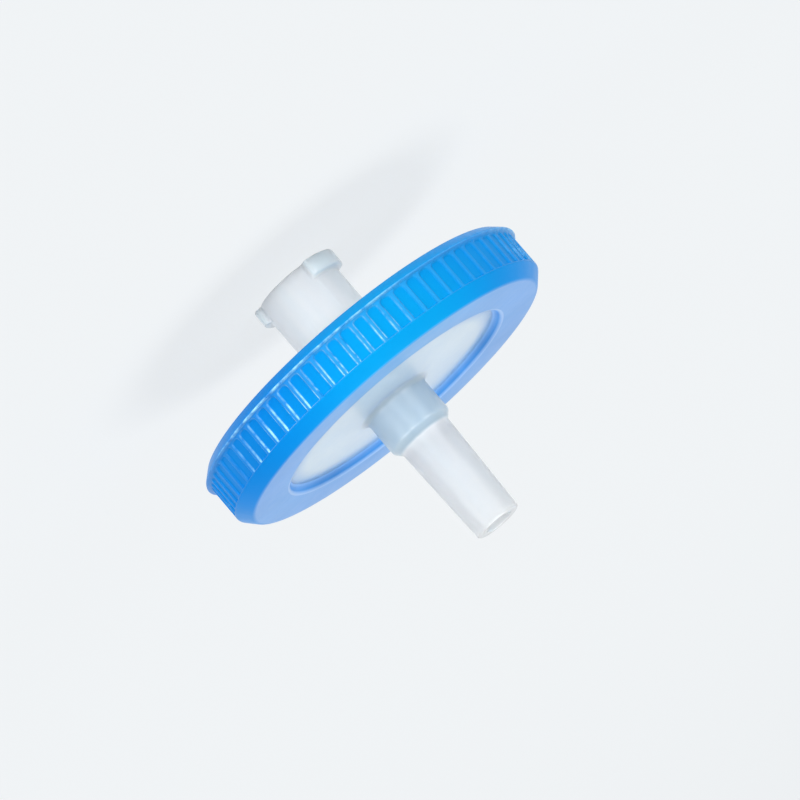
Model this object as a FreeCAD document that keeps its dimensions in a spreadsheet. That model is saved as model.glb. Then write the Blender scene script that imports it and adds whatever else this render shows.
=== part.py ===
"""A 25 mm syringe filter: two natural polypropylene housings that clamp a membrane, held at
their rims by an overmoulded grip ring. It stands on its inlet end.

Millimetres and degrees. +Z runs from the inlet's mouth (Z = 0) to the outlet's tip, and +X through
the middle of one locking lug. Every outline is a half section whose corners are (name, radius,
height), or a plan whose corners are (name, x, y). Sizes are formulas of the sheet's cells.
"""
import FreeCAD
import Part
import Sketcher
import math
import os
import re

# Driving dimensions, one cell each.
SIZES = {
    # inlet: female Luer hub with two locking lugs
    "hub_radius": 3.3,
    "hub_root_round": 0.4,
    "mouth_radius": 2.15,
    "mouth_bevel": 0.15,
    "luer_taper": 0.03,  # fall of the radius along each millimetre: the 6 % Luer cone
    "socket_cone": 7.5,
    "socket_straight": 1.0,
    "socket_floor": 0.7,
    "inlet_hole_radius": 1.0,
    "lug_reach": 0.6,
    "lug_height": 1.35,
    "lug_flank": 0.2,
    "lug_span": 80.0,
    "lug_count": 2,
    "lug_root": 0.4,
    "lug_round": 0.2,
    # discs, chamber and membrane
    "inlet_plate": 1.3,
    "chamber_height": 0.6,
    "vane_count": 12,
    "vane_width": 0.5,
    "vane_start": 3.0,
    "vane_gap": 0.15,
    "membrane_radius": 12.5,
    "membrane_thickness": 0.15,
    "membrane_clearance": 0.1,
    "rim_width": 0.4,
    "clamp_width": 0.9,
    "channel_depth": 0.4,
    "support_start": 2.2,
    "support_width": 0.45,
    "drain_count": 8,
    "drain_width": 0.8,
    "outlet_plate": 1.6,
    # outlet: collar and male Luer tip
    "dome_rise": 0.4,
    "collar_radius": 2.8,
    "collar_length": 3.15,
    "collar_root_round": 0.45,
    "collar_bevel": 0.6,
    "tip_radius": 2.0,
    "tip_length": 8.8,
    "tip_edge": 0.15,
    "lumen_root_radius": 1.05,
    "lumen_tip_radius": 1.2,
    "outlet_hole_radius": 0.65,
    # grip ring
    "ring_wall": 2.05,
    "lip_overhang": 0.45,
    "lip_edge": 0.12,
    "lip_ledge": 0.1,
    "shoulder_width": 0.85,
    "shoulder_height": 0.8,
    "foot_width": 0.95,
    "foot_height": 1.05,
    "inlet_grip": 0.45,
    "inlet_grip_width": 2.0,
    "outlet_grip": 0.6,
    "outlet_grip_width": 2.7,
    "recess_draft": 0.2,
    "ring_round": 0.25,
    "rib_count": 72,
    "rib_radius": 0.2,
    "rib_height": 0.15,
}
SUPPORT_RINGS = 6
NEAR = 1e-4  # how far apart two equal lengths may be

# Radii and heights that several pieces share.
SOCKET_RADIUS = "mouth_radius - luer_taper * socket_cone"
SOCKET_END = "socket_cone + socket_straight"
CHAMBER_ROOF = SOCKET_END + " + socket_floor"
INLET_FACE = CHAMBER_ROOF + " - inlet_plate"
SEAL = CHAMBER_ROOF + " + chamber_height"
SUPPORT = SEAL + " + membrane_thickness"
CHANNEL_FLOOR = SUPPORT + " + channel_depth"
OUTLET_FACE = CHANNEL_FLOOR + " + outlet_plate"
DOME_TOP = OUTLET_FACE + " + dome_rise"
COLLAR_END = DOME_TOP + " + collar_length"
TIP_START = COLLAR_END + " + collar_bevel"
TIP_END = TIP_START + " + tip_length"
TIP_ROOT_RADIUS = "tip_radius + luer_taper * tip_length"
POCKET_RADIUS = "membrane_radius + membrane_clearance"
DISC_RADIUS = POCKET_RADIUS + " + rim_width"
WET_RADIUS = "membrane_radius - clamp_width"
SUPPORT_PITCH = f"({WET_RADIUS} - support_start) / {SUPPORT_RINGS}"
PANEL_RADIUS = DISC_RADIUS + " + ring_wall"
CREST_RADIUS = PANEL_RADIUS + " + rib_height"
LIP_RADIUS = PANEL_RADIUS + " + lip_overhang"
RING_BACK = INLET_FACE + " - inlet_grip"
LIP_START = RING_BACK + " + shoulder_height"
LIP_END = LIP_START + " + lip_edge"
RING_FACE = OUTLET_FACE + " + outlet_grip"
FOOT_START = RING_FACE + " - foot_height"
RECESS_RADIUS = DISC_RADIUS + " - outlet_grip_width"
INLET_OPENING_RADIUS = DISC_RADIUS + " - inlet_grip_width"

document = FreeCAD.newDocument("syringe_filter")


def fill_sheet():
    sheet = document.addObject("Spreadsheet::Sheet", "Sizes")
    for row, (word, value) in enumerate(SIZES.items(), start=1):
        sheet.set(f"A{row}", word)
        sheet.set(f"B{row}", str(value))
        sheet.setAlias(f"B{row}", word)
    document.recompute()


def bind(item, name, words):
    """Ties a property or a constraint to a formula of the sheet's cells."""
    item.setExpression(name, re.sub("[a-z][a-z_]+", lambda word: "Sizes." + word.group(), words))


def origin_part(body, role):
    return next(item for item in body.Origin.OriginFeatures if item.Role == role)


def new_body(label):
    body = document.addObject("PartDesign::Body", label)
    body.Label = label
    return body


def new_sketch(body, name, role, height=None):
    """An empty sketch on one of the body's origin planes, raised by height."""
    sketch = body.newObject("Sketcher::SketchObject", name)
    sketch.AttachmentSupport = [(origin_part(body, role), "")]
    sketch.MapMode = "FlatFace"
    if height:
        bind(sketch, "AttachmentOffset.Base.z", height)
    return sketch


def outline(body, name, corners, role="XZ_Plane", height=None):
    """A closed outline of straight lines through named corners."""
    sketch = new_sketch(body, name, role, height)
    for line in range(len(corners)):
        start = FreeCAD.Vector(line + 1, line ** 2 + 1, 0)
        end = FreeCAD.Vector(line + 2, (line + 1) ** 2 + 1, 0)
        sketch.addGeometry(Part.LineSegment(start, end))
    for line, (corner, across, along) in enumerate(corners):
        before = (line - 1) % len(corners)
        sketch.addConstraint(Sketcher.Constraint("Coincident", before, 2, line, 1))
        for direction, words in (("X", across), ("Y", along)):
            held = Sketcher.Constraint("Distance" + direction, -1, 1, line, 1, 1.0)
            label = f"{corner}_{direction}"
            sketch.renameConstraint(sketch.addConstraint(held), label)
            bind(sketch, f"Constraints.{label}", words)
    document.recompute()
    return sketch


def circle(body, name, radius, across="0", height=None):
    """A circle parallel to the XY plane whose centre lies on the X axis."""
    sketch = new_sketch(body, name, "XY_Plane", height)
    sketch.addGeometry(Part.Circle(FreeCAD.Vector(1, 0, 0), FreeCAD.Vector(0, 0, 1), 1))
    held = {
        "radius": (Sketcher.Constraint("Radius", 0, 1.0), radius),
        "across": (Sketcher.Constraint("DistanceX", -1, 1, 0, 3, 1.0), across),
    }
    sketch.addConstraint(Sketcher.Constraint("PointOnObject", 0, 3, -1))
    for label, (constraint, words) in held.items():
        sketch.renameConstraint(sketch.addConstraint(constraint), label)
        bind(sketch, f"Constraints.{label}", words)
    document.recompute()
    return sketch


def revolve(body, sketch, span="360"):
    """Turns a half section about Z, evenly to both sides of the XZ plane."""
    turned = body.newObject("PartDesign::Revolution", sketch.Name + "_turned")
    turned.Profile = sketch
    turned.ReferenceAxis = (sketch, ["V_Axis"])
    turned.Midplane = True
    bind(turned, "Angle", span)
    document.recompute()
    return turned


def raise_up(body, sketch, length, kind="Pad"):
    """Pads or pockets a plan upwards by length."""
    raised = body.newObject("PartDesign::" + kind, sketch.Name + "_raised")
    raised.Profile = sketch
    raised.Reversed = kind == "Pocket"
    bind(raised, "Length", length)
    document.recompute()
    return raised


def repeat(body, feature, count):
    """Copies of a feature spaced evenly round Z."""
    copies = body.newObject("PartDesign::PolarPattern", feature.Name + "_copies")
    copies.Originals = [feature]
    copies.Axis = (origin_part(body, "Z_Axis"), [""])
    copies.Angle = 360
    bind(copies, "Occurrences", count)
    body.Tip = copies
    document.recompute()
    return copies


def swept_circle(shape, sketch, corner):
    """Names of the edges that a corner of a half section swept about Z."""
    radius = sketch.getDatum(corner + "_X").Value
    height = sketch.getDatum(corner + "_Y").Value
    centre = FreeCAD.Vector(0, 0, height)
    return [
        f"Edge{number}"
        for number, edge in enumerate(shape.Edges, start=1)
        if isinstance(edge.Curve, Part.Circle)
        and abs(edge.Curve.Radius - radius) < NEAR
        and edge.Curve.Center.isEqual(centre, NEAR)
    ]


def round_off(body, sketch, corners, radius):
    """Rounds what these corners of a half section swept."""
    base = body.Tip
    edges = [edge for corner in corners for edge in swept_circle(base.Shape, sketch, corner)]
    rounded = body.newObject("PartDesign::Fillet", f"{sketch.Name}_{corners[0]}_round")
    rounded.Base = (base, edges)
    bind(rounded, "Radius", radius)
    document.recompute()
    return rounded


def luer_lugs(body):
    """Two lugs flush with the mouth, with a sloped flank behind that a lock's thread pulls on."""
    section = outline(body, "lug", [
        ("root_back", "hub_radius - lug_root", "0"),
        ("tip_back", "hub_radius + lug_reach", "0"),
        ("tip_front", "hub_radius + lug_reach", "lug_height"),
        ("flank_end", "hub_radius", "lug_height + lug_flank"),
        ("root_front", "hub_radius - lug_root", "lug_height + lug_flank"),
    ])
    repeat(body, revolve(body, section, "lug_span"), "lug_count")
    reach = section.getDatum("tip_back_X").Value
    base = body.Tip
    rounded = body.newObject("PartDesign::Fillet", "lug_round")
    rounded.Base = (base, [
        f"Edge{number}"
        for number, edge in enumerate(base.Shape.Edges, start=1)
        if all(abs(math.hypot(end.X, end.Y) - reach) < NEAR for end in edge.Vertexes)
    ])
    bind(rounded, "Radius", "lug_round")
    document.recompute()


def inlet_housing():
    """Disc and hub in one moulding, with the Luer socket, two lugs and the chamber's vanes."""
    body = new_body("inlet_housing")
    section = outline(body, "inlet", [
        ("mouth_inside", "mouth_radius + mouth_bevel", "0"),
        ("mouth_outside", "hub_radius", "0"),
        ("hub_root", "hub_radius", INLET_FACE),
        ("rim_back", DISC_RADIUS, INLET_FACE),
        ("rim_front", DISC_RADIUS, SEAL),
        ("clamp", WET_RADIUS, SEAL),
        ("roof", WET_RADIUS, CHAMBER_ROOF),
        ("hole_front", "inlet_hole_radius", CHAMBER_ROOF),
        ("hole_back", "inlet_hole_radius", SOCKET_END),
        ("floor", SOCKET_RADIUS, SOCKET_END),
        ("cone_end", SOCKET_RADIUS, "socket_cone"),
        ("cone_mouth", "mouth_radius - luer_taper * mouth_bevel", "mouth_bevel"),
    ])
    revolve(body, section)
    round_off(body, section, ["hub_root"], "hub_root_round")
    luer_lugs(body)
    vane = outline(body, "vane", [
        ("start_low", "vane_start", "0 - vane_width / 2"),
        ("end_low", "membrane_radius", "0 - vane_width / 2"),
        ("end_high", "membrane_radius", "vane_width / 2"),
        ("start_high", "vane_start", "vane_width / 2"),
    ], "XY_Plane", CHAMBER_ROOF)
    repeat(body, raise_up(body, vane, "chamber_height - vane_gap"), "vane_count")
    return body


def membrane():
    """The filter disc, clamped at its edge and carried by the outlet's support rings."""
    body = new_body("membrane")
    raise_up(body, circle(body, "disc", "membrane_radius", height=SEAL), "membrane_thickness")
    return body


def support_corners():
    """Corners of the concentric rings that stand on the channels' floor."""
    corners = []
    for ring in range(SUPPORT_RINGS):
        inside = f"support_start + {ring} * {SUPPORT_PITCH}"
        outside = inside + " + support_width"
        corners += [
            (f"ring{ring}_root_in", inside, CHANNEL_FLOOR),
            (f"ring{ring}_top_in", inside, SUPPORT),
            (f"ring{ring}_top_out", outside, SUPPORT),
            (f"ring{ring}_root_out", outside, CHANNEL_FLOOR),
        ]
    return corners


def outlet_housing():
    """Disc, collar and male Luer tip in one moulding, with the membrane's support inside."""
    body = new_body("outlet_housing")
    section = outline(body, "outlet", [
        ("hole_back", "outlet_hole_radius", CHANNEL_FLOOR),
        *support_corners(),
        ("land_root", WET_RADIUS, CHANNEL_FLOOR),
        ("land", WET_RADIUS, SUPPORT),
        ("pocket", POCKET_RADIUS, SUPPORT),
        ("skirt", POCKET_RADIUS, SEAL),
        ("rim_back", DISC_RADIUS, SEAL),
        ("rim_front", DISC_RADIUS, OUTLET_FACE),
        ("dome_edge", RECESS_RADIUS, OUTLET_FACE),
        ("collar_root", "collar_radius", DOME_TOP),
        ("collar_end", "collar_radius", COLLAR_END),
        ("tip_root", TIP_ROOT_RADIUS, TIP_START),
        ("tip_bevel", "tip_radius + luer_taper * tip_edge", f"{TIP_END} - tip_edge"),
        ("tip", "tip_radius - tip_edge", TIP_END),
        ("lumen_tip", "lumen_tip_radius", TIP_END),
        ("lumen_root", "lumen_root_radius", OUTLET_FACE),
        ("hole_front", "outlet_hole_radius", OUTLET_FACE),
    ])
    revolve(body, section)
    round_off(body, section, ["collar_root"], "collar_root_round")
    drain = outline(body, "drain", [
        ("start_low", "support_start / 2", "0 - drain_width / 2"),
        ("end_low", f"{WET_RADIUS} - drain_width / 2", "0 - drain_width / 2"),
        ("end_high", f"{WET_RADIUS} - drain_width / 2", "drain_width / 2"),
        ("start_high", "support_start / 2", "drain_width / 2"),
    ], "XY_Plane", SUPPORT)
    repeat(body, raise_up(body, drain, "channel_depth", "Pocket"), "drain_count")
    return body


def grip_ring():
    """The ring that holds both rims: a lipped shoulder, a ribbed grip and a sloped foot."""
    body = new_body("grip_ring")
    section = outline(body, "ring", [
        ("opening_back", INLET_OPENING_RADIUS, RING_BACK),
        ("shoulder", f"{LIP_RADIUS} - shoulder_width", RING_BACK),
        ("lip_back", LIP_RADIUS, LIP_START),
        ("lip_front", LIP_RADIUS, LIP_END),
        ("panel_back", PANEL_RADIUS, f"{LIP_END} + lip_ledge"),
        ("panel_front", PANEL_RADIUS, FOOT_START),
        ("foot", CREST_RADIUS, FOOT_START),
        ("face_rim", f"{CREST_RADIUS} - foot_width", RING_FACE),
        ("face_inside", f"{RECESS_RADIUS} + recess_draft", RING_FACE),
        ("recess", RECESS_RADIUS, OUTLET_FACE),
        ("cavity_front", DISC_RADIUS, OUTLET_FACE),
        ("cavity_back", DISC_RADIUS, INLET_FACE),
        ("opening_front", INLET_OPENING_RADIUS, INLET_FACE),
    ])
    revolve(body, section)
    round_off(body, section, ["face_rim", "face_inside"], "ring_round")
    rib = circle(body, "rib", "rib_radius", f"{CREST_RADIUS} - rib_radius", LIP_END)
    repeat(body, raise_up(body, rib, f"{FOOT_START} - ({LIP_END})"), "rib_count")
    return body


def check_and_export(bodies):
    failed = [item.Name for item in document.Objects if {"Invalid", "Error"} & set(item.State)]
    if failed:
        raise RuntimeError("these objects failed: " + ", ".join(failed))
    os.makedirs("parts", exist_ok=True)
    for body in bodies:
        if body.Shape.isNull() or not body.Shape.isValid() or len(body.Shape.Solids) != 1:
            raise RuntimeError(body.Label + " isn't one valid solid")
        body.Shape.exportStep(f"parts/{body.Label}.step")
        print(body.Label, round(body.Shape.Volume, 2), "mm3")


fill_sheet()
check_and_export([inlet_housing(), membrane(), outlet_housing(), grip_ring()])
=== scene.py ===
# %% [markdown]
# # A syringe filter
# A syringe filter is a flat plastic capsule with a membrane inside. A syringe locks into its hub,
# and the clean liquid leaves through its tip. The frame holds the exact solids, in metres, standing
# on the hub with +Z towards the tip. This lesson gives each moulding a smooth mesh with rounded
# edges and its own plastic, and sets up a pale studio round it.

# %% Open the frame
import bpy
import math
from mathutils import Matrix, Vector


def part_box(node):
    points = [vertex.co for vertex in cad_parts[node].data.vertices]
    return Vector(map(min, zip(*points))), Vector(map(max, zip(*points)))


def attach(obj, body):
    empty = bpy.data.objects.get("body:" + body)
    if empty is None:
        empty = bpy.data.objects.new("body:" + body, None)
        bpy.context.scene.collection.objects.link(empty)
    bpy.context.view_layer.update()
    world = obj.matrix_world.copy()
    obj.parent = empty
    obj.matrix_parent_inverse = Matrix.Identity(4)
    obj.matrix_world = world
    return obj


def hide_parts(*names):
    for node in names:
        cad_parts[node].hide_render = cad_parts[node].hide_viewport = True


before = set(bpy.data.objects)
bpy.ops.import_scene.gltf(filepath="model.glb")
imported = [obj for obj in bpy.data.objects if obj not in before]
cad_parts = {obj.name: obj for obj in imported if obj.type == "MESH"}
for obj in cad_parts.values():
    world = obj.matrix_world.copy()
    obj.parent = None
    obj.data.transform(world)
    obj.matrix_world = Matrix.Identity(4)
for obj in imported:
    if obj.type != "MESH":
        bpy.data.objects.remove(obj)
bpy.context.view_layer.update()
MM = 0.001
print("solids in the frame:", sorted(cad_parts))

# %% [markdown]
# ## Where the pieces meet
# Heights and radii that two pieces share are read from the frame, so that the smooth meshes stay
# where the solids are. The ring reaches from behind the inlet's disc to in front of the outlet's,
# and the membrane marks the seal between the two.

# %% Read the shared sizes
def box_mm(node):
    """A node's lowest and highest height and its widest reach along X, in millimetres."""
    low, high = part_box(node)
    return low.z / MM, high.z / MM, high.x / MM


RING_BACK, RING_FACE, LIP_RADIUS = box_mm("grip_ring")
MOUTH, SEAL, DISC_RADIUS = box_mm("inlet_housing")
_, TIP_END, _ = box_mm("outlet_housing")
_, SUPPORT, MEMBRANE_RADIUS = box_mm("membrane")
OUTLET_GRIP_WIDTH = 2.7
RECESS_RADIUS = DISC_RADIUS - OUTLET_GRIP_WIDTH
print(f"ring from {RING_BACK:.2f} to {RING_FACE:.2f} mm, {2 * LIP_RADIUS:.1f} mm across its lip")

# %% [markdown]
# ## Outlines with rounded corners
# Every moulding here is turned about one axis, so each starts as a half section: a closed line of
# corners, counter-clockwise, with the radius across and the height up. A moulding never has a
# knife edge. Blender's Bevel modifier could round them, but it has to guess widths where edges run
# close together. Rounding the corners of the half section first gives clean rows of faces. A
# rational quadratic curve makes a true arc, and it still gives separate points on a straight line,
# which the lugs need further down.

# %% Helpers: round a corner, and a whole outline
WIDE_ROUND = 0.2
WIDE_STEPS, NARROW_STEPS = 6, 3


def arc(before, corner, after, reach):
    """Points of an arc that starts and ends at reach from a corner."""
    steps = WIDE_STEPS if reach >= WIDE_ROUND else NARROW_STEPS
    back = (Vector(before) - Vector(corner)).normalized()
    on = (Vector(after) - Vector(corner)).normalized()
    pull = math.sin(back.angle(on) / 2)
    points = []
    for step in range(steps + 1):
        share = step / steps
        start, middle, end = (1 - share) ** 2, 2 * share * (1 - share) * pull, share ** 2
        offset = (back * start + on * end) * reach / (start + middle + end)
        points.append(Vector(corner) + offset)
    return points


def rounded(corners):
    """The closed outline through (radius, height, reach) corners. A reach of 0 stays sharp."""
    line = []
    for place, (radius, height, reach) in enumerate(corners):
        if reach == 0:
            line.append(Vector((radius, height)))
            continue
        before = corners[place - 1][:2]
        after = corners[(place + 1) % len(corners)][:2]
        line += arc(before, (radius, height), after, reach)
    return line


# %% [markdown]
# ## From an outline to a mesh
# The Screw modifier or Spin would turn one outline into a body, but the inlet hub has lugs and the
# ring has ribs, so their outlines change on the way round. This helper takes one outline for each
# angle and joins neighbours with four-sided faces. Going round a counter-clockwise outline with the
# angle growing makes every face point outwards.

# %% Helper: sweep outlines round Z
def swept(name, angles, outline_at, whole=True):
    """A mesh object whose columns are outlines, each turned to its angle about Z."""
    columns = [outline_at(angle) for angle in angles]
    rows = len(columns[0])
    points = [
        (spot.x * MM * math.cos(angle), spot.x * MM * math.sin(angle), spot.y * MM)
        for angle, column in zip(angles, columns)
        for spot in column
    ]
    faces = []
    for column in range(len(columns) if whole else len(columns) - 1):
        here, there = column * rows, (column + 1) % len(columns) * rows
        for row in range(rows):
            above = (row + 1) % rows
            faces.append((here + row, there + row, there + above, here + above))
    mesh = bpy.data.meshes.new(name)
    mesh.from_pydata(points, [], faces)
    mesh.shade_smooth()
    piece = bpy.data.objects.new(name, mesh)
    bpy.context.scene.collection.objects.link(piece)
    return piece


def even_angles(count, start=0.0, span=math.tau):
    return [start + span * step / count for step in range(count)]


# %% [markdown]
# ## Copies round an axis
# Seventy-two ribs, twelve vanes and eight drains repeat round the axis. Geometry Nodes hold that
# rule once: they turn copies of one piece about Z, make them real, and then weld them, add them to
# the moulding or cut them out of it. The result is turned into a plain mesh before anything else
# uses it, because an export drops instances and modifiers that point at other objects.

# %% Helper: the node tree
WELD_DISTANCE = 0.001 * MM


def copies_tree(name, join):
    """Turns copies of a piece about Z, then joins them: WELD, UNION or DIFFERENCE."""
    tree = bpy.data.node_groups.new(name, "GeometryNodeTree")
    face = tree.interface
    face.new_socket("Moulding", in_out="INPUT", socket_type="NodeSocketGeometry")
    face.new_socket("Piece", in_out="INPUT", socket_type="NodeSocketObject")
    face.new_socket("Count", in_out="INPUT", socket_type="NodeSocketInt")
    face.new_socket("Plastic", in_out="INPUT", socket_type="NodeSocketMaterial")
    face.new_socket("Result", in_out="OUTPUT", socket_type="NodeSocketGeometry")

    def node(kind, **settings):
        made = tree.nodes.new(kind)
        for key, value in settings.items():
            setattr(made, key, value)
        return made

    def link(source, output, target, socket):
        tree.links.new(source.outputs[output], target.inputs[socket])

    given = node("NodeGroupInput")
    piece = node("GeometryNodeObjectInfo")
    spots = node("GeometryNodePoints")
    order = node("GeometryNodeInputIndex")
    pitch = node("ShaderNodeMath", operation="DIVIDE")
    turn = node("ShaderNodeMath", operation="MULTIPLY")
    about_z = node("ShaderNodeCombineXYZ")
    copies = node("GeometryNodeInstanceOnPoints")
    real = node("GeometryNodeRealizeInstances")
    painted = node("GeometryNodeSetMaterial")
    result = node("NodeGroupOutput")
    pitch.inputs[0].default_value = math.tau
    link(given, "Piece", piece, "Object")
    link(given, "Count", spots, "Count")
    link(given, "Count", pitch, 1)
    link(order, "Index", turn, 0)
    link(pitch, "Value", turn, 1)
    link(turn, "Value", about_z, "Z")
    link(spots, "Points", copies, "Points")
    link(piece, "Geometry", copies, "Instance")
    link(about_z, "Vector", copies, "Rotation")
    link(copies, "Instances", real, "Geometry")
    if join == "WELD":
        joined = node("GeometryNodeMergeByDistance")
        joined.inputs["Distance"].default_value = WELD_DISTANCE
        link(real, "Geometry", joined, "Geometry")
        link(joined, "Geometry", painted, "Geometry")
    else:
        joined = node("GeometryNodeMeshBoolean", operation=join, solver="EXACT")
        link(given, "Moulding", joined, 0 if join == "DIFFERENCE" else 1)
        link(real, "Geometry", joined, 1)
        link(joined, "Mesh", painted, "Geometry")
    link(given, "Plastic", painted, "Material")
    link(painted, "Geometry", result, "Result")
    return tree


# %% Helper: run the tree on a moulding
def with_copies(name, moulding, piece, count, join, plastic):
    """A new plain object: the moulding with copies of the piece round Z."""
    tree = copies_tree(name + "_tree", join)
    modifier = moulding.modifiers.new("copies", "NODES")
    modifier.node_group = tree
    sockets = {item.name: item.identifier for item in tree.interface.items_tree
               if item.in_out == "INPUT"}
    modifier[sockets["Piece"]] = piece
    modifier[sockets["Count"]] = count
    modifier[sockets["Plastic"]] = plastic
    moulding.update_tag()
    graph = bpy.context.evaluated_depsgraph_get()
    mesh = bpy.data.meshes.new_from_object(moulding.evaluated_get(graph), depsgraph=graph)
    mesh.name = name
    made = bpy.data.objects.new(name, mesh)
    bpy.context.scene.collection.objects.link(made)
    moulding.modifiers.remove(modifier)
    for used in (moulding, piece):
        bpy.data.objects.remove(used)
    print(f"{name}: {count} copies, {len(mesh.polygons)} faces")
    return made


# %% Helper: finish a moulding
FLATS_FIRST = 100  # the largest faces decide the shading beside a round


def finish_piece(piece, node):
    """Even shading across flats and rounds, and the piece's place in the frame."""
    weighted = piece.modifiers.new("even shading", "WEIGHTED_NORMAL")
    weighted.mode = "FACE_AREA"
    weighted.weight = FLATS_FIRST
    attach(piece, "root")
    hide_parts(node)


# %% [markdown]
# ## Finishes
# Three plastics, all read from Object coordinates so that a pattern stays on its piece. Helpers
# first: a material with its Principled shader, and a soft cloud of noise between two values. Noise
# seldom leaves its middle range, so that range is what a cloud is stretched from.

# %% Helpers: materials
CLOUD_LOW, CLOUD_HIGH = 0.3, 0.7
PLASTIC_IOR = 1.49


def new_finish(name):
    """A material, its node tree and its Principled shader."""
    finish = bpy.data.materials.new(name)
    finish.use_nodes = True
    return finish, finish.node_tree, finish.node_tree.nodes["Principled BSDF"]


def clouds(tree, per_mm, detail=2.0, stretch=(1.0, 1.0, 1.0), shift_mm=0.0):
    """Noise on the piece's own coordinates, with per_mm waves to a millimetre."""
    place = tree.nodes.new("ShaderNodeTexCoord")
    scale = tree.nodes.new("ShaderNodeMapping")
    scale.inputs["Scale"].default_value = stretch
    scale.inputs["Location"].default_value = (shift_mm * MM, 0, 0)
    noise = tree.nodes.new("ShaderNodeTexNoise")
    noise.inputs["Scale"].default_value = per_mm / MM
    noise.inputs["Detail"].default_value = detail
    tree.links.new(place.outputs["Object"], scale.inputs["Vector"])
    tree.links.new(scale.outputs["Vector"], noise.inputs["Vector"])
    return noise.outputs["Fac"]


def between(tree, cloud, low, high):
    """A value that follows a cloud from low to high."""
    spread = tree.nodes.new("ShaderNodeMapRange")
    spread.inputs["From Min"].default_value = CLOUD_LOW
    spread.inputs["From Max"].default_value = CLOUD_HIGH
    spread.inputs["To Min"].default_value = low
    spread.inputs["To Max"].default_value = high
    tree.links.new(cloud, spread.inputs["Value"])
    return spread.outputs["Result"]


def by_identifier(sockets, identifier):
    """A Mix node has several sockets called A and B, so they are told apart by identifier."""
    return next(socket for socket in sockets if socket.identifier == identifier)


def blend_colours(tree, fac, first, second):
    mix = tree.nodes.new("ShaderNodeMix")
    mix.data_type = "RGBA"
    for letter, colour in (("A", first), ("B", second)):
        socket = by_identifier(mix.inputs, letter + "_Color")
        if isinstance(colour, bpy.types.NodeSocket):
            tree.links.new(colour, socket)
        else:
            socket.default_value = (*colour, 1)
    tree.links.new(fac, by_identifier(mix.inputs, "Factor_Float"))
    return by_identifier(mix.outputs, "Result_Color")


def add_bump(tree, shader, height, depth_mm):
    bump = tree.nodes.new("ShaderNodeBump")
    bump.inputs["Distance"].default_value = depth_mm * MM
    bump.inputs["Strength"].default_value = 1.0
    tree.links.new(height, bump.inputs["Height"])
    tree.links.new(bump.outputs["Normal"], shader.inputs["Normal"])


# %% [markdown]
# ### Blue polypropylene
# The ring is glossy and strongly coloured, and light still finds its way through it. Where the plastic
# thins out it looks paler. A shader can't know how thick a moulding is, so the ring's mesh carries two
# values at its points. The first is paleness: thin plastic on the face and round the recess, with
# painted highlights on the recess's rim, on the lip and on the ribs' crests. The second is a painted
# highlight, nearly white, on the flanks of the ribs and on the lip. A fine cloud and a broad one break
# the painted highlights up, and the broad one puts the strongest of them on one part of the ring. The
# broadest cloud of all paints shade, as a deeper blue, on parts of the ring. Three more vary the tone a
# little, vary the polish and give the skin a faint grain. Beside most clouds stands the range that it is
# stretched to.

# %% Blue plastic
THIN_AND_HIGHLIGHT, PAINTED_HIGHLIGHT = "thin_and_painted_highlight", "painted_highlight"
# The deeper blue is a painted shade.
BLUE, PAINTED_SHADE_BLUE = (0.002, 0.335, 0.755), (0.002, 0.205, 0.66)
# A paler blue for thin plastic and painted highlights, and a nearly white blue for painted highlights.
THIN_AND_HIGHLIGHT_BLUE, HIGHLIGHT_BLUE = (0.36, 0.54, 0.86), (0.42, 0.82, 0.99)
BLUE_SHEEN, BLUE_GLOSS = (0.1, 0.6, 1.0), 0.1
PAINTED_SHADE_CLOUD = {"per_mm": 0.05, "detail": 0.0, "shift_mm": 505.0}
BROAD_CLOUD, BROAD = {"per_mm": 0.08, "detail": 0.0, "shift_mm": 1.0}, (-0.5, 1.25)
FINE_CLOUD, FINE = {"per_mm": 1.3, "detail": 3.0}, (-0.3, 2.0)
SHADE_CLOUD, SHADES = {"per_mm": 0.15}, (0.93, 1.0)
POLISH_CLOUD, POLISH = {"per_mm": 1.0}, (0.29, 0.35)
SKIN_CLOUD, SKIN_DEPTH = {"per_mm": 0.8, "detail": 1.0}, 0.003


def carried(tree, name):
    """A value that the mesh carries at its points."""
    value = tree.nodes.new("ShaderNodeAttribute")
    value.attribute_name = name
    return value.outputs["Fac"]


def product(tree, first, second):
    both = tree.nodes.new("ShaderNodeMath")
    both.operation = "MULTIPLY"
    tree.links.new(first, both.inputs[0])
    tree.links.new(second, both.inputs[1])
    return both.outputs[0]


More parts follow.
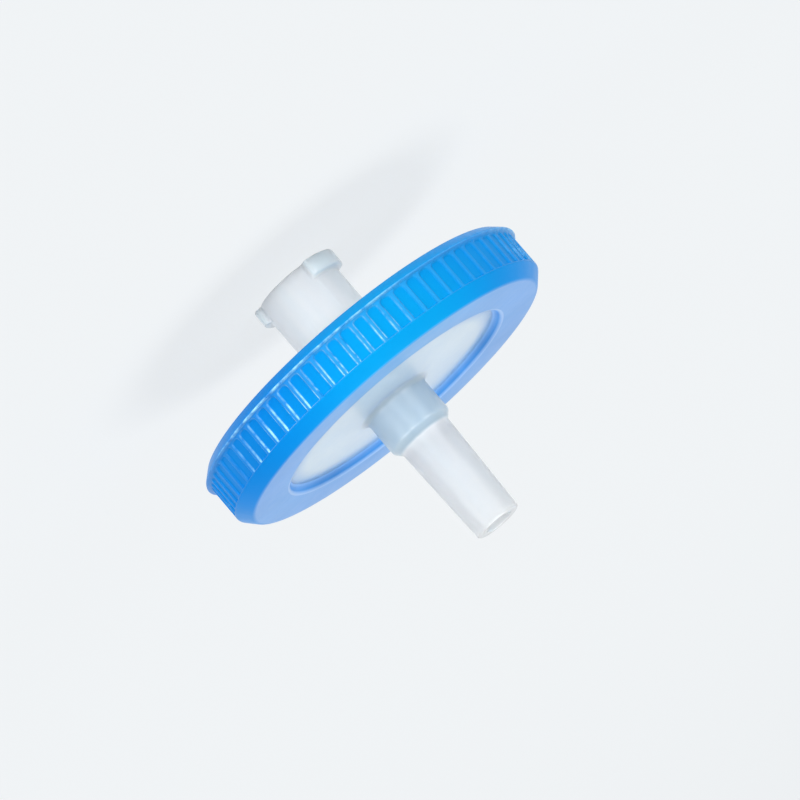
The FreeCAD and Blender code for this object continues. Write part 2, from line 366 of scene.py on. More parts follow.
def blue_plastic():
    finish, tree, shader = new_finish("glossy_blue")
    # Painted shade: a deeper blue wherever the broadest cloud is low.
    painted_shade = between(tree, clouds(tree, **PAINTED_SHADE_CLOUD), 1, 0)
    body = blend_colours(tree, painted_shade, BLUE, PAINTED_SHADE_BLUE)
    body = blend_colours(tree, carried(tree, THIN_AND_HIGHLIGHT), body, THIN_AND_HIGHLIGHT_BLUE)
    # Painted highlights on the ribs' flanks and on the lip, broken up by a fine cloud and a broad one.
    fine = between(tree, clouds(tree, **FINE_CLOUD), *FINE)
    broad = between(tree, clouds(tree, **BROAD_CLOUD), *BROAD)
    highlight_patches = product(tree, fine, broad)
    painted_highlight_share = product(tree, carried(tree, PAINTED_HIGHLIGHT), highlight_patches)
    colour = blend_colours(tree, painted_highlight_share, body, HIGHLIGHT_BLUE)
    shade = tree.nodes.new("ShaderNodeVectorMath")
    shade.operation = "SCALE"
    tree.links.new(colour, shade.inputs[0])
    tree.links.new(between(tree, clouds(tree, **SHADE_CLOUD), *SHADES), shade.inputs["Scale"])
    tree.links.new(shade.outputs[0], shader.inputs["Base Color"])
    shader.inputs["IOR"].default_value = PLASTIC_IOR
    shader.inputs["Specular IOR Level"].default_value = BLUE_GLOSS
    shader.inputs["Specular Tint"].default_value = (*BLUE_SHEEN, 1)
    tree.links.new(between(tree, clouds(tree, **POLISH_CLOUD), *POLISH), shader.inputs["Roughness"])
    add_bump(tree, shader, clouds(tree, **SKIN_CLOUD), SKIN_DEPTH)
    return finish


# %% [markdown]
# ### Natural polypropylene
# The housings are the same plastic with no pigment. It is cloudy: light goes in, scatters for a few
# millimetres and comes out milky. A mix of a diffuse and a glass shader could stand for that, but
# subsurface scattering does it with one, and gives the soft shading that frosted plastic has. A
# little transmission is added, more of it in the slim tip, where the wall is thin, than in the hub.
# A smoother coat on top draws the long highlight that a polished mould leaves on the hub.
# Beside the ring, blue light from it is painted into the milk. So the disc and the collar have a cooler
# colour that follows the height and the radius, darkest at the collar, and a cloud makes it a little
# uneven. Scattering washes a tint out, so these are strong ones.

# %% Natural plastic
MILK, COOL_MILK, EDGE_MILK = (0.94, 0.98, 1.0), (0.83, 0.915, 0.98), (0.74, 0.88, 0.99)
BLUED_FROM, BLUED_TO, BLUED_FADE = 10.5, 15.9, 0.3
COLLAR_SIDE, COLLAR_FOOT, RING_GLOW = 2.9, 3.5, 2.0
# Painted blue light from the ring, by radius: darkest at the collar, bluest at the recess.
RING_LIGHT_BY_RADIUS = [
    (COLLAR_SIDE, (0.46, 0.57, 0.64)),
    (COLLAR_FOOT, (0.57, 0.72, 0.98)),
    (RECESS_RADIUS - RING_GLOW, (0.60, 0.745, 1.0)),
    (RECESS_RADIUS, (0.20, 0.45, 0.98)),
]
RED_KEPT, GREEN_KEPT = 0.86, 0.93
COOLER_RING_LIGHT_BY_RADIUS = [
    (distance, (RED_KEPT * red, GREEN_KEPT * green, blue))
    for distance, (red, green, blue) in RING_LIGHT_BY_RADIUS
]
UNEVEN_CLOUD = {"per_mm": 0.12, "detail": 3.0, "shift_mm": 12.0}
STREAK_CLOUD = {"per_mm": 0.45, "stretch": (1, 1, 0.12)}
HUB_SIDE, HUB_EDGE = 3.35, 3.75
CLOUDY, CLEARER = 0.1, 0.38
CLEAR_FROM, CLEAR_TO = 15.9, 17.0
COAT_WEIGHT, COAT_ROUGHNESS = 0.6, 0.2
SCATTER_MM = 3.0
FROST_CLOUD, FROST = {"per_mm": 1.5}, (0.30, 0.38)
GRAIN_CLOUD, GRAIN_DEPTH = {"per_mm": 1.2, "stretch": (1, 1, 0.3)}, 0.004


def fade(tree, value, outside, edge):
    """0 at outside and 1 at edge, both in millimetres, with a soft step between."""
    step = tree.nodes.new("ShaderNodeMapRange")
    step.interpolation_type = "SMOOTHSTEP"
    step.inputs["From Min"].default_value = outside * MM
    step.inputs["From Max"].default_value = edge * MM
    tree.links.new(value, step.inputs["Value"])
    return step.outputs["Result"]


def radius_and_height(tree):
    """How far a point is from the axis, and how high it is."""
    place = tree.nodes.new("ShaderNodeTexCoord")
    parts = tree.nodes.new("ShaderNodeSeparateXYZ")
    flat = tree.nodes.new("ShaderNodeVectorMath")
    flat.operation = "MULTIPLY"
    flat.inputs[1].default_value = (1, 1, 0)
    radius = tree.nodes.new("ShaderNodeVectorMath")
    radius.operation = "LENGTH"
    tree.links.new(place.outputs["Object"], parts.inputs[0])
    tree.links.new(place.outputs["Object"], flat.inputs[0])
    tree.links.new(flat.outputs[0], radius.inputs[0])
    return radius.outputs["Value"], parts.outputs["Z"]


def by_radius(tree, radius, stops):
    """A colour that follows the radius through (millimetres, colour) stops."""
    share = tree.nodes.new("ShaderNodeMapRange")
    share.inputs["From Max"].default_value = DISC_RADIUS * MM
    tree.links.new(radius, share.inputs["Value"])
    ramp = tree.nodes.new("ShaderNodeValToRGB")
    ramp.color_ramp.interpolation = "EASE"
    marks = ramp.color_ramp.elements
    for _ in stops[len(marks):]:
        marks.new(0.5)  # the loop below moves it to its place
    for mark, (distance, colour) in zip(marks, stops):
        mark.position = distance / DISC_RADIUS
        mark.color = (*colour, 1)
    tree.links.new(share.outputs["Result"], ramp.inputs["Fac"])
    return ramp.outputs["Color"]


def natural_plastic():
    finish, tree, shader = new_finish("frosted_natural")
    radius, height = radius_and_height(tree)
    streaks = between(tree, clouds(tree, **STREAK_CLOUD), 0, 1)
    milk = blend_colours(tree, streaks, MILK, COOL_MILK)
    milk = blend_colours(tree, fade(tree, radius, HUB_SIDE, HUB_EDGE), milk, EDGE_MILK)
    # Painted blue light from the ring, on the disc and the collar beside it.
    ring_light_share = product(tree, fade(tree, height, BLUED_FROM - BLUED_FADE, BLUED_FROM),
                          fade(tree, height, BLUED_TO + BLUED_FADE, BLUED_TO))
    uneven = between(tree, clouds(tree, **UNEVEN_CLOUD), 0, 1)
    painted_ring_light = blend_colours(tree, uneven, by_radius(tree, radius, RING_LIGHT_BY_RADIUS),
                          by_radius(tree, radius, COOLER_RING_LIGHT_BY_RADIUS))
    colour = blend_colours(tree, ring_light_share, milk, painted_ring_light)
    tree.links.new(colour, shader.inputs["Base Color"])
    shader.inputs["IOR"].default_value = PLASTIC_IOR
    clearer = tree.nodes.new("ShaderNodeMapRange")
    clearer.inputs["To Min"].default_value = CLOUDY
    clearer.inputs["To Max"].default_value = CLEARER
    tree.links.new(fade(tree, height, CLEAR_FROM, CLEAR_TO), clearer.inputs["Value"])
    tree.links.new(clearer.outputs["Result"], shader.inputs["Transmission Weight"])
    shader.inputs["Coat Weight"].default_value = COAT_WEIGHT
    shader.inputs["Coat Roughness"].default_value = COAT_ROUGHNESS
    shader.inputs["Subsurface Weight"].default_value = 1.0
    shader.inputs["Subsurface Radius"].default_value = (1.0, 1.0, 1.0)
    shader.inputs["Subsurface Scale"].default_value = SCATTER_MM * MM
    tree.links.new(between(tree, clouds(tree, **FROST_CLOUD), *FROST), shader.inputs["Roughness"])
    add_bump(tree, shader, clouds(tree, **GRAIN_CLOUD), GRAIN_DEPTH)
    return finish


# %% [markdown]
# ### The membrane
# A thin white film with pores too fine to see. They could be cut or painted, but at this size
# nothing of them would show. So one fine cloud drives the colour, the roughness and a faint tooth,
# and the three agree with each other.

# %% Membrane film
FILM_GREY, FILM_WHITE = (0.91, 0.92, 0.92), (0.95, 0.955, 0.955)
PORE_CLOUD, PORE_DEPTH = {"per_mm": 8.0, "detail": 4.0}, 0.01
FILM_ROUGHNESS = (0.8, 0.95)


def membrane_film():
    finish, tree, shader = new_finish("white_film")
    pores = clouds(tree, **PORE_CLOUD)
    colour = blend_colours(tree, between(tree, pores, 0, 1), FILM_GREY, FILM_WHITE)
    tree.links.new(colour, shader.inputs["Base Color"])
    tree.links.new(between(tree, pores, *FILM_ROUGHNESS), shader.inputs["Roughness"])
    add_bump(tree, shader, pores, PORE_DEPTH)
    return finish


blue, natural, film = blue_plastic(), natural_plastic(), membrane_film()
print("finishes:", blue.name, natural.name, film.name)

# %% [markdown]
# ## The grip ring
# The blue ring is moulded round the rims of both discs and locks them together. Its half section has
# a lipped shoulder at the back, a straight wall with ribs for the fingers, a sloped foot and a flat
# face. Between the ribs the wall is sunk in 72 shallow panels with rounded corners. One slice, a
# 72nd of the way round, holds a whole rib with half a panel on each side, and the node tree copies
# it round.

# %% The ring's half section
LIP_OVERHANG, LIP_EDGE, LIP_LEDGE = 0.45, 0.12, 0.10
LIP_ROUND, LIP_END_ROUND = 0.10, 0.02
SHOULDER_WIDTH, SHOULDER_HEIGHT, SHOULDER_ROUND = 0.85, 0.8, 0.12
FOOT_WIDTH, FOOT_HEIGHT, FOOT_ROUND = 0.95, 1.05, 0.12
RIB_HEIGHT = 0.15
INLET_GRIP, INLET_GRIP_WIDTH, OUTLET_GRIP = 0.45, 2.0, 0.6
RECESS_DRAFT, RECESS_ROUND, FACE_ROUND, OPENING_ROUND = 0.3, 0.25, 0.22, 0.1
CREASE_OUT, CREASE_UP, CREASE_ROUND = 0.03, 0.02, 0.12
COVE, COVE_SLOPE = 0.15, 0.05
PANEL_RADIUS = LIP_RADIUS - LIP_OVERHANG
CREST_RADIUS = PANEL_RADIUS + RIB_HEIGHT
OPENING_RADIUS = DISC_RADIUS - INLET_GRIP_WIDTH
LIP_START, FOOT_START = RING_BACK + SHOULDER_HEIGHT, RING_FACE - FOOT_HEIGHT
LIP_END = LIP_START + LIP_EDGE
PANEL_START, PANEL_END = LIP_END + LIP_LEDGE, FOOT_START - FOOT_ROUND
INLET_FACE, OUTLET_FACE = RING_BACK + INLET_GRIP, RING_FACE - OUTLET_GRIP
TOP_ROWS = [0.03, 0.07, 0.11, 0.16, 0.22, 0.30, 0.42, 0.6]
FOOT_ROWS = [0.3, 0.12, 0.08, 0.05, 0.02]


def panel_heights():
    """Heights of the rows up the wall, closer together near the panels' ends."""
    return [PANEL_START + row for row in TOP_ROWS] + [PANEL_END - row for row in FOOT_ROWS]


def ring_line():
    """The half section, with a row of points up the wall where the panels go."""
    return rounded([
        (OPENING_RADIUS, RING_BACK, OPENING_ROUND),
        (LIP_RADIUS - SHOULDER_WIDTH, RING_BACK, SHOULDER_ROUND),
        (LIP_RADIUS, LIP_START, LIP_ROUND),
        (LIP_RADIUS, LIP_END, LIP_END_ROUND),
        (CREST_RADIUS, PANEL_START, 0),
        *[(CREST_RADIUS, height, 0) for height in panel_heights()],
        (CREST_RADIUS, PANEL_END, 0),
        (CREST_RADIUS, FOOT_START, FOOT_ROUND),
        (CREST_RADIUS - FOOT_WIDTH, RING_FACE, FACE_ROUND),
        (RECESS_RADIUS + RECESS_DRAFT, RING_FACE, RECESS_ROUND),
        (RECESS_RADIUS + CREASE_OUT, OUTLET_FACE + CREASE_UP, CREASE_ROUND),
        (RECESS_RADIUS - COVE, OUTLET_FACE + COVE_SLOPE * COVE, 0),
        (RECESS_RADIUS - COVE, OUTLET_FACE, 0),
        (DISC_RADIUS, OUTLET_FACE, 0),
        (DISC_RADIUS, INLET_FACE, 0),
        (OPENING_RADIUS, INLET_FACE, 0),
    ])


# %% [markdown]
# ### One slice, how pale it is, and its painted highlights
# A boolean could cut the panels, but it leaves ragged faces along a soft edge. Instead each point
# of the wall sinks by a soft step, so a rib's flank is a slope and its crest is flat.
#
# How pale the plastic looks, and where highlights are painted on, could be drawn into a texture. But the
# mesh knows best where its own edges are, so every point carries both. Up the side of the recess the
# blue first gets deeper, and is then palest at the rim, a painted highlight on its rounding. The face is
# less pale, the lip and the ribs' crests get a little painted highlight, and the panels none. The ribs'
# flanks get the most painted highlight near the foot, and a panel's ends get less than its sides.

# %% The panels
RIB_COUNT = 72
PITCH = math.tau / RIB_COUNT
RIB_CREST, RIB_FLANK = 0.09, 0.15
TOP_CORNER, FOOT_CORNER = 0.42, 0.12
TOP_EDGE, FOOT_EDGE = 0.16, 0.08
COLUMNS = [0, 0.05, 0.09, 0.12, 0.15, 0.18, 0.21, 0.24, 0.30, 0.38, 0.48, 0.57]


def soft_step(share):
    share = min(max(share, 0), 1)
    return share * share * (3 - 2 * share)


def panel_share(across, height):
    """0 on the ribs and beyond the panels' ends, 1 on a panel's floor. Across is from a rib's middle."""
    upper = height < (PANEL_START + PANEL_END) / 2
    corner = TOP_CORNER if upper else FOOT_CORNER
    in_side = abs(across) - RIB_CREST
    in_end = height - PANEL_START if upper else PANEL_END - height
    if in_side < corner and in_end < corner:
        inside = corner - math.hypot(corner - in_side, corner - in_end)
    else:
        inside = min(in_side, in_end)
    edge = RIB_FLANK if in_side < in_end else TOP_EDGE if upper else FOOT_EDGE
    return soft_step(inside / edge)


print(f"panels: {PITCH * CREST_RADIUS:.2f} mm apart, {PANEL_END - PANEL_START:.2f} mm long")

# %% How pale the plastic is, and its painted highlights
HAIR = 0.01
# The rim's palest value is a painted highlight on its rounding, and the crest and lip values are painted
# highlights too.
CREASE_PALE, RECESS_PALE, RIM_HIGHLIGHT = 0.6, 0.15, 0.95
DEEPEST_SHARE, RIM_REACH = 0.6, 0.5
FACE_PALE, FACE_DEPTH, FACE_FADE = 0.5, 0.17, 0.3
FACE_ROUND_START = CREST_RADIUS - FOOT_WIDTH - FACE_ROUND
LIP_HIGHLIGHT, LIP_LIT = 0.15, 0.4
CREST_HIGHLIGHT = 0.06
LIT_AT_LIP, LIT_AT_END = 0.2, 0.35


def along(share, start, end):
    return start + (end - start) * share


def on_lip(spot):
    return LIP_START < spot.y < PANEL_START + HAIR and spot.x > CREST_RADIUS - HAIR


def thinness_and_highlight(spot):
    """How pale the plastic looks off the wall, with painted highlights on the recess's rim and on the
    lip.
    """
    if spot.x < RECESS_RADIUS + RIM_REACH and spot.y > OUTLET_FACE - HAIR:
        up = (spot.y - OUTLET_FACE) / (RING_FACE - OUTLET_FACE)
        if up < DEEPEST_SHARE:
            return along(up / DEEPEST_SHARE, CREASE_PALE, RECESS_PALE)
        return along((up - DEEPEST_SHARE) / (1 - DEEPEST_SHARE), RECESS_PALE, RIM_HIGHLIGHT)
    if spot.y > RING_FACE - FACE_DEPTH:
        return FACE_PALE * (1 - min(max((spot.x - FACE_ROUND_START) / FACE_FADE, 0), 1))
    return LIP_HIGHLIGHT if on_lip(spot) else 0.0


def wall_values(across, height):
    """How much painted highlight the wall gets: a little on the crests, more on the flanks."""
    sunk = panel_share(across, height)
    down = (height - PANEL_START) / (PANEL_END - PANEL_START)
    beside = 1.0 if abs(across) < RIB_CREST + RIB_FLANK else LIT_AT_END
    flank = math.sqrt(4 * sunk * (1 - sunk))
    return CREST_HIGHLIGHT * (1 - sunk), flank * along(down ** 2, LIT_AT_LIP, 1) * beside


# %% One slice of the ring
TOUCHING, FOOT_MARGIN = 0.001, 0.05


def ring_slice():
    line = ring_line()
    on_wall = [abs(spot.x - CREST_RADIUS) < TOUCHING for spot in line]

    def slice_outline(angle):
        across = angle * CREST_RADIUS
        return [
            Vector((spot.x - RIB_HEIGHT * panel_share(across, spot.y), spot.y)) if wall else spot
            for spot, wall in zip(line, on_wall)
        ]

    half = [offset / CREST_RADIUS for offset in COLUMNS[1:]] + [PITCH / 2]
    angles = [-angle for angle in reversed(half)] + [0] + half
    piece = swept("ring_slice", angles, slice_outline, whole=False)
    thin_and_painted_highlight = piece.data.attributes.new(THIN_AND_HIGHLIGHT, "FLOAT", "POINT")
    painted_highlight = piece.data.attributes.new(PAINTED_HIGHLIGHT, "FLOAT", "POINT")
    for column, angle in enumerate(angles):
        for row, (spot, wall) in enumerate(zip(line, on_wall)):
            values = thinness_and_highlight(spot), LIP_LIT if on_lip(spot) else 0.0
            if wall and spot.y < FOOT_START - FOOT_MARGIN:
                values = wall_values(angle * CREST_RADIUS, spot.y)
            point = column * len(line) + row
            thin_and_painted_highlight.data[point].value, painted_highlight.data[point].value = values
    return piece


nothing = bpy.data.objects.new("nothing", bpy.data.meshes.new("nothing"))
bpy.context.scene.collection.objects.link(nothing)
ring = with_copies("ring", nothing, ring_slice(), RIB_COUNT, "WELD", blue)
finish_piece(ring, "grip_ring")

# %% [markdown]
# ## The inlet housing
# One moulding: a disc, a hub whose socket tapers by 6 % to grip a syringe's tip, and two lugs that a
# locking syringe screws onto. The lugs are flush with the mouth. They could be joined on as separate
# blocks, but here the outline's outer corners just step out where a lug is, so the hub and its lugs
# are one skin with soft corners, as moulded.

# %% Hub and lugs
SMALL_ROUND = 0.05
HUB_RADIUS, HUB_ROOT_ROUND = 3.3, 0.4
LUG_REACH, LUG_HEIGHT, LUG_FLANK = 0.6, 1.35, 0.2
LUG_SPAN, LUG_COUNT, LUG_END_ROUND = math.radians(80), 2, 0.35
LUG_ROUND, LUG_CORNER, LUG_ROOT = 0.12, 0.11, 0.08
LUG_STEPS, END_STEPS, GAP_STEPS, END_MARGIN = 24, 10, 30, 0.05
LUER_TAPER, MOUTH_RADIUS, MOUTH_BEVEL, MOUTH_ROUND = 0.03, 2.15, 0.15, 0.04
SOCKET_CONE, SOCKET_END, SOCKET_ROUND = 7.5, 8.5, 0.1
SOCKET_RADIUS = MOUTH_RADIUS - LUER_TAPER * SOCKET_CONE
INLET_PLATE, CLAMP_WIDTH, INLET_HOLE = 1.3, 0.9, 1.0
CHAMBER_ROOF = INLET_FACE + INLET_PLATE
WET_RADIUS = MEMBRANE_RADIUS - CLAMP_WIDTH


def lug_share(angle):
    """1 on a lug, 0 between the lugs, and a rounded end between."""
    pitch = math.tau / LUG_COUNT
    from_middle = abs((angle + pitch / 2) % pitch - pitch / 2)
    past_end = (from_middle - LUG_SPAN / 2) * HUB_RADIUS + LUG_END_ROUND
    share = min(max(past_end / LUG_END_ROUND, 0), 1)
    return math.sqrt(1 - share ** 2) if share < 1 else 0.0


def inlet_outline(angle):
    reach = HUB_RADIUS + LUG_REACH * lug_share(angle)
    return rounded([
        (MOUTH_RADIUS + MOUTH_BEVEL, MOUTH, MOUTH_ROUND),
        (reach, MOUTH, LUG_ROUND),
        (reach, LUG_HEIGHT, LUG_CORNER),
        (HUB_RADIUS, LUG_HEIGHT + LUG_FLANK, LUG_ROOT),
        (HUB_RADIUS, INLET_FACE, HUB_ROOT_ROUND),
        (DISC_RADIUS, INLET_FACE, SMALL_ROUND),
        (DISC_RADIUS, SEAL, SMALL_ROUND),
        (WET_RADIUS, SEAL, SMALL_ROUND),
        (WET_RADIUS, CHAMBER_ROOF, SMALL_ROUND),
        (INLET_HOLE, CHAMBER_ROOF, SMALL_ROUND),
        (INLET_HOLE, SOCKET_END, SMALL_ROUND),
        (SOCKET_RADIUS, SOCKET_END, SOCKET_ROUND),
        (SOCKET_RADIUS, SOCKET_CONE, SOCKET_ROUND),
        (MOUTH_RADIUS - LUER_TAPER * MOUTH_BEVEL, MOUTH_BEVEL, MOUTH_ROUND),
    ])


def hub_angles():
    """Even steps, with more of them where a lug ends."""
    angles = []
    end = LUG_SPAN / 2
    gap = math.tau / LUG_COUNT - LUG_SPAN
    soft = LUG_END_ROUND / HUB_RADIUS
    past = soft * END_MARGIN
    for lug in range(LUG_COUNT):
        middle = math.tau * lug / LUG_COUNT
        angles += even_angles(LUG_STEPS, middle - end + soft, LUG_SPAN - 2 * soft)
        angles += even_angles(END_STEPS, middle + end - soft, soft + past)
        angles += even_angles(GAP_STEPS, middle + end + past, gap - 2 * past)
        angles += even_angles(END_STEPS, middle + end + gap - past, soft + past)
    return angles


# %% The vanes, and the finished inlet
VANE_COUNT, VANE_WIDTH, VANE_HEIGHT = 12, 0.5, 0.45
VANE_START, VANE_END = 3.0, MEMBRANE_RADIUS - 0.3
SUNK_IN = 0.2  # how far a vane reaches into the roof, so that the two join


def bar(name, start, end, width, low, high):
    """A straight bar along X."""
    corners = [(x, y, z) for z in (low, high) for y in (-width / 2, width / 2) for x in (start, end)]
    faces = [(0, 2, 3, 1), (4, 5, 7, 6), (0, 1, 5, 4), (2, 6, 7, 3), (1, 3, 7, 5), (0, 4, 6, 2)]
    mesh = bpy.data.meshes.new(name)
    mesh.from_pydata([Vector(corner) * MM for corner in corners], [], faces)
    piece = bpy.data.objects.new(name, mesh)
    bpy.context.scene.collection.objects.link(piece)
    return piece


vane = bar("vane", VANE_START, VANE_END, VANE_WIDTH,
           CHAMBER_ROOF - SUNK_IN, CHAMBER_ROOF + VANE_HEIGHT)
hub = swept("hub", hub_angles(), inlet_outline)
inlet = with_copies("inlet", hub, vane, VANE_COUNT, "UNION", natural)
finish_piece(inlet, "inlet_housing")

# %% [markdown]
# ## The outlet housing
# The other half: a disc with rings inside that carry the membrane, a collar, and a tip that tapers by
# the same 6 % to fit a needle or a tube. Eight drains cut through the support rings, and lead the
# liquid to the hole in the middle. They are bars taken away with the same node tree.

# %% Outlet half section
OUTLET_HOLE, CHANNEL_DEPTH, RIM_WIDTH, DOME_RISE = 0.65, 0.4, 0.4, 0.4
CHANNEL_FLOOR = SUPPORT + CHANNEL_DEPTH
SUPPORT_RINGS, SUPPORT_START, SUPPORT_WIDTH, SUPPORT_ROUND = 6, 2.2, 0.45, 0.04
POCKET_RADIUS, POCKET_ROUND = DISC_RADIUS - RIM_WIDTH, 0.03
DOME_TOP, DOME_ROUND = OUTLET_FACE + DOME_RISE, 0.1
COLLAR_RADIUS, COLLAR_LENGTH, COLLAR_BEVEL = 2.8, 3.15, 0.6
COLLAR_ROOT_ROUND, COLLAR_ROUND = 0.45, 0.15
COLLAR_END = DOME_TOP + COLLAR_LENGTH
TIP_START = COLLAR_END + COLLAR_BEVEL
TIP_RADIUS, TIP_EDGE, TIP_ROUND, TIP_ROOT_ROUND = 2.0, 0.15, 0.06, 0.1
TIP_ROOT_RADIUS = TIP_RADIUS + LUER_TAPER * (TIP_END - TIP_START)
LUMEN_ROOT, LUMEN_TIP, LUMEN_ROUND = 1.05, 1.2, 0.08


def support_corners():
    """The rings that stand on the channels' floor and carry the membrane."""
    pitch = (WET_RADIUS - SUPPORT_START) / SUPPORT_RINGS
    corners = []
    for ring_number in range(SUPPORT_RINGS):
        inside = SUPPORT_START + ring_number * pitch
        outside = inside + SUPPORT_WIDTH
        corners += [(inside, CHANNEL_FLOOR, 0), (inside, SUPPORT, SUPPORT_ROUND),
                    (outside, SUPPORT, SUPPORT_ROUND), (outside, CHANNEL_FLOOR, 0)]
    return corners


def outlet_outline(angle):
    """The same at every angle: the outlet has no lugs."""
    return rounded([
        (OUTLET_HOLE, CHANNEL_FLOOR, SMALL_ROUND),
        *support_corners(),
        (WET_RADIUS, CHANNEL_FLOOR, 0),
        (WET_RADIUS, SUPPORT, SUPPORT_ROUND),
        (POCKET_RADIUS, SUPPORT, 0),
        (POCKET_RADIUS, SEAL, POCKET_ROUND),
        (DISC_RADIUS, SEAL, SMALL_ROUND),
        (DISC_RADIUS, OUTLET_FACE, SMALL_ROUND),
        (RECESS_RADIUS, OUTLET_FACE, DOME_ROUND),
        (COLLAR_RADIUS, DOME_TOP, COLLAR_ROOT_ROUND),
        (COLLAR_RADIUS, COLLAR_END, COLLAR_ROUND),
        (TIP_ROOT_RADIUS, TIP_START, TIP_ROOT_ROUND),
        (TIP_RADIUS + LUER_TAPER * TIP_EDGE, TIP_END - TIP_EDGE, TIP_ROUND),
        (TIP_RADIUS - TIP_EDGE, TIP_END, TIP_ROUND),
        (LUMEN_TIP, TIP_END, LUMEN_ROUND),
        (LUMEN_ROOT, OUTLET_FACE, SMALL_ROUND),
        (OUTLET_HOLE, OUTLET_FACE, SMALL_ROUND),
    ])


# %% The drains, and the finished outlet
SHELL_STEPS = 144
DRAIN_COUNT, DRAIN_WIDTH = 8, 0.8
PAST_SUPPORT, OFF_FLOOR = 0.1, 0.005  # a cut that ends level with a face leaves slivers
drain = bar("drain", SUPPORT_START / 2, WET_RADIUS - DRAIN_WIDTH / 2, DRAIN_WIDTH,
            SUPPORT - PAST_SUPPORT, CHANNEL_FLOOR - OFF_FLOOR)
shell = swept("shell", even_angles(SHELL_STEPS), outlet_outline)
outlet = with_copies("outlet", shell, drain, DRAIN_COUNT, "DIFFERENCE", natural)
finish_piece(outlet, "outlet_housing")

# %% [markdown]
# ## The membrane in its place
# The film is a flat disc, and the frame's own solid already has that shape. A new mesh would add
# nothing, so the solid stays and only gets the film's material.

# %% The membrane keeps its solid
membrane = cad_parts["membrane"]
membrane.data.materials.clear()
membrane.data.materials.append(film)
print("membrane:", round(2 * MEMBRANE_RADIUS, 1), "mm across,", membrane.data.materials[0].name)

# %% [markdown]
# ## The floor
# A pale floor big enough to fill the view. A plain diffuse floor would be brighter under a lamp and
# darker far away. This one shows the camera a set pale tone mixed with the lit floor, so the tone
# is even and the soft shadow under the hub stays.

# %% Floor
PALE = (0.871, 0.896, 0.913)
FLOOR_HALF, FLOOR_DROP = 2.0, 0.00002
FLOOR_ROUGHNESS, STEADY_SHARE = 0.9, 0.85


def seen_share(tree):
    """1 for the camera's rays, for mirrored rays and for rays that pass through plastic."""
    rays = tree.nodes.new("ShaderNodeLightPath")
    total = rays.outputs["Is Camera Ray"]
    for kind in ("Is Glossy Ray", "Is Transmission Ray"):
        either = tree.nodes.new("ShaderNodeMath")
        either.operation = "MAXIMUM"
        tree.links.new(total, either.inputs[0])
        tree.links.new(rays.outputs[kind], either.inputs[1])
        total = either.outputs[0]
    return total


def pale_floor():
    finish, tree, shader = new_finish("pale_floor")
    shader.inputs["Base Color"].default_value = (*PALE, 1)
    shader.inputs["Roughness"].default_value = FLOOR_ROUGHNESS
    shader.inputs["Specular IOR Level"].default_value = 0.0
    steady = tree.nodes.new("ShaderNodeEmission")
    steady.inputs["Color"].default_value = (*PALE, 1)
    share = tree.nodes.new("ShaderNodeMath")
    share.operation = "MULTIPLY"
    share.inputs[1].default_value = STEADY_SHARE
    mix = tree.nodes.new("ShaderNodeMixShader")
    tree.links.new(seen_share(tree), share.inputs[0])
    tree.links.new(share.outputs[0], mix.inputs[0])
    tree.links.new(shader.outputs[0], mix.inputs[1])
    tree.links.new(steady.outputs[0], mix.inputs[2])
    tree.links.new(mix.outputs[0], tree.nodes["Material Output"].inputs["Surface"])
    return finish


floor_mesh = bpy.data.meshes.new("floor")
floor_mesh.from_pydata([(x * FLOOR_HALF, y * FLOOR_HALF, -FLOOR_DROP)
                        for x, y in ((-1, -1), (1, -1), (1, 1), (-1, 1))], [], [(0, 1, 2, 3)])
floor_mesh.materials.append(pale_floor())
floor = bpy.data.objects.new("floor", floor_mesh)
bpy.context.scene.collection.objects.link(floor)
print("floor:", 2 * FLOOR_HALF, "m across")

# %% [markdown]
# ## The room
# The world lights the part from all sides like a pale room. It is softer as a lamp than it looks,
# so that the lamps below still shape the part. Light Path tells the two uses apart.

# %% World
ROOM_STRENGTH = 0.38


def pale_room():
    """Pale to the eye, to gloss and through clear plastic, and softer as a lamp."""
    world = bpy.data.worlds.new("studio")
    world.use_nodes = True
    tree = world.node_tree
    air = tree.nodes["Background"]
    air.inputs["Color"].default_value = (*PALE, 1)
    seen = seen_share(tree)
    strength = tree.nodes.new("ShaderNodeMapRange")
    strength.inputs["To Min"].default_value = ROOM_STRENGTH
    strength.inputs["To Max"].default_value = 1.0
    tree.links.new(seen, strength.inputs["Value"])
    tree.links.new(strength.outputs["Result"], air.inputs["Strength"])
    bpy.context.scene.world = world


pale_room()
print("room:", ROOM_STRENGTH, "of its brightness as a lamp")

# %% [markdown]
# ## The camera
# The part stands upright in the frame, but a filter is used with its tip down. So the camera looks
# from a little above the bench and is rolled well past a right angle, which tips the part over in
# the view and leaves it at rest in the scene. A long lens from half a metre keeps the ring's
# ellipse true. The view is given as an azimuth, a rise and a roll, and a matrix is made from them.

# %% Camera
VIEW_AZIMUTH, VIEW_RISE, VIEW_ROLL = math.radians(64.5), math.radians(10.95), math.radians(139.4)
VIEW_DISTANCE, LENS = 0.572, 332.7
AIM_HEIGHT, AIM_RIGHT, AIM_DOWN = 10, 1.91, 1.69


def outward(azimuth, rise):
    """The direction from the object at an azimuth from +X and a rise above the floor."""
    return Vector((math.cos(azimuth) * math.cos(rise), math.sin(azimuth) * math.cos(rise),
                   math.sin(rise)))


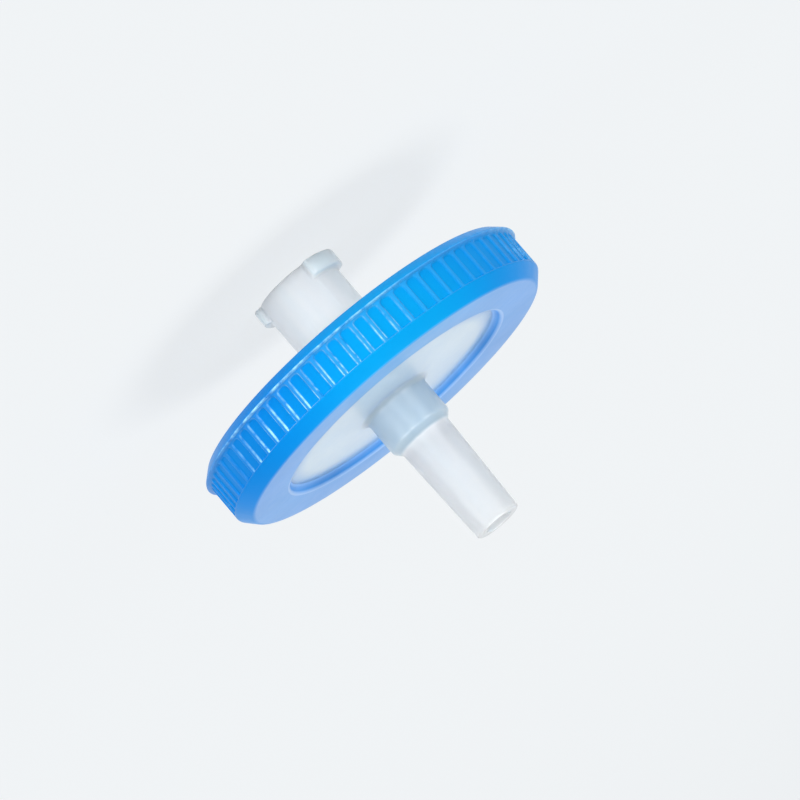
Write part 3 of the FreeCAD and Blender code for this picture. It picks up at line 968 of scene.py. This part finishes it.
back = outward(VIEW_AZIMUTH, VIEW_RISE)
level = Vector((0, 0, 1)).cross(back).normalized()
upright = back.cross(level)
right = level * math.cos(VIEW_ROLL) + upright * math.sin(VIEW_ROLL)
up = upright * math.cos(VIEW_ROLL) - level * math.sin(VIEW_ROLL)
centre = Vector((0, 0, AIM_HEIGHT * MM)) + right * AIM_RIGHT * MM - up * AIM_DOWN * MM
camera = bpy.data.objects.new("camera", bpy.data.cameras.new("camera"))
camera.data.lens = LENS
camera.matrix_world = Matrix((
    (right.x, up.x, back.x, (centre + back * VIEW_DISTANCE).x),
    (right.y, up.y, back.y, (centre + back * VIEW_DISTANCE).y),
    (right.z, up.z, back.z, (centre + back * VIEW_DISTANCE).z),
    (0, 0, 0, 1),
))
bpy.context.scene.collection.objects.link(camera)
bpy.context.scene.camera = camera
print(f"camera: {VIEW_DISTANCE} m away with a {LENS} mm lens")

# %% [markdown]
# ## The lamps
# One sun would be simpler, but a glossy ring mirrors the shape of what lights it. So there are large
# soft lamps at a low level, as round a small product on a table. All but one stand close to the
# floor, because the ring's wall and the hub are upright and face that way. Left and right are meant
# for someone who stands at the camera with a level head. The narrow strip draws one long highlight
# down the hub and the tip, and the overhead lamp lights the flat face.

# %% Lamps
LAMPS = [  # name, azimuth, rise, distance, width, height, watts
    ("strip", 78, 9, 0.6, 0.03, 0.13, 0.5),
    ("front", 62, 9, 0.8, 0.5, 0.16, 1.25),
    ("left side", 20, 8, 0.8, 0.4, 0.16, 2.05),
    ("right side", 115, 8, 0.8, 0.4, 0.16, 2.0),
    ("overhead", 250, 75, 0.8, 0.5, 0.5, 4.2),
]


def softbox(name, azimuth, rise, distance, width, height, watts):
    data = bpy.data.lights.new(name, "AREA")
    data.shape = "RECTANGLE"
    data.size, data.size_y = width, height
    data.energy = watts
    lamp = bpy.data.objects.new(name, data)
    place = outward(math.radians(azimuth), math.radians(rise)) * distance
    lamp.location = place
    lamp.rotation_euler = (-place).to_track_quat("-Z", "Y").to_euler()
    bpy.context.scene.collection.objects.link(lamp)


for lamp_row in LAMPS:
    softbox(*lamp_row)
bpy.context.scene.view_settings.view_transform = "Standard"
